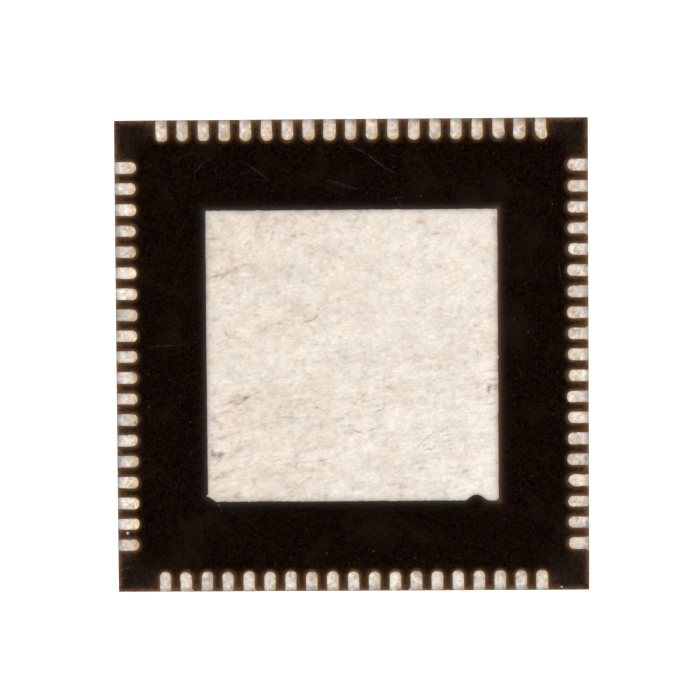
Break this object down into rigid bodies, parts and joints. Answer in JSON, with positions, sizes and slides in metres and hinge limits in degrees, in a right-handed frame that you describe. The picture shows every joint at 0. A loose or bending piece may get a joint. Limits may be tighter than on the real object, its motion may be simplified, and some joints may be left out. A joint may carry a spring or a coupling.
{
  "type": "integrated circuit",
  "caption": "Square no-lead integrated circuit package lying on its flat top: black moulded body, rows of round-ended tinned leads flush with its sides, and a large square thermal pad.",
  "frame": {"origin": "centre of the flat moulded top that the package lies on", "axes": "+Z out of the terminal side; +X and +Y along the sides of the body, with the pin-one corner at -X and -Y"},
  "size_m": [0.009, 0.009, 0.0009],
  "materials": {
    "moulding": "matte black mould compound",
    "tin_plate": "matte tin plating on copper",
    "silver_epoxy": "silver-filled adhesive",
    "silicon": "polished silicon",
    "gold": "drawn gold wire"
  },
  "bodies": {
    "root": {"mould_body": "moulding", "die_paddle": "tin_plate", "leads_north": "tin_plate", "leads_east": "tin_plate", "leads_south": "tin_plate", "leads_west": "tin_plate", "die_attach": "silver_epoxy", "silicon_die": "silicon", "wires_north": "gold", "wires_east": "gold", "wires_south": "gold", "wires_west": "gold"}
  },
  "joints": []
}
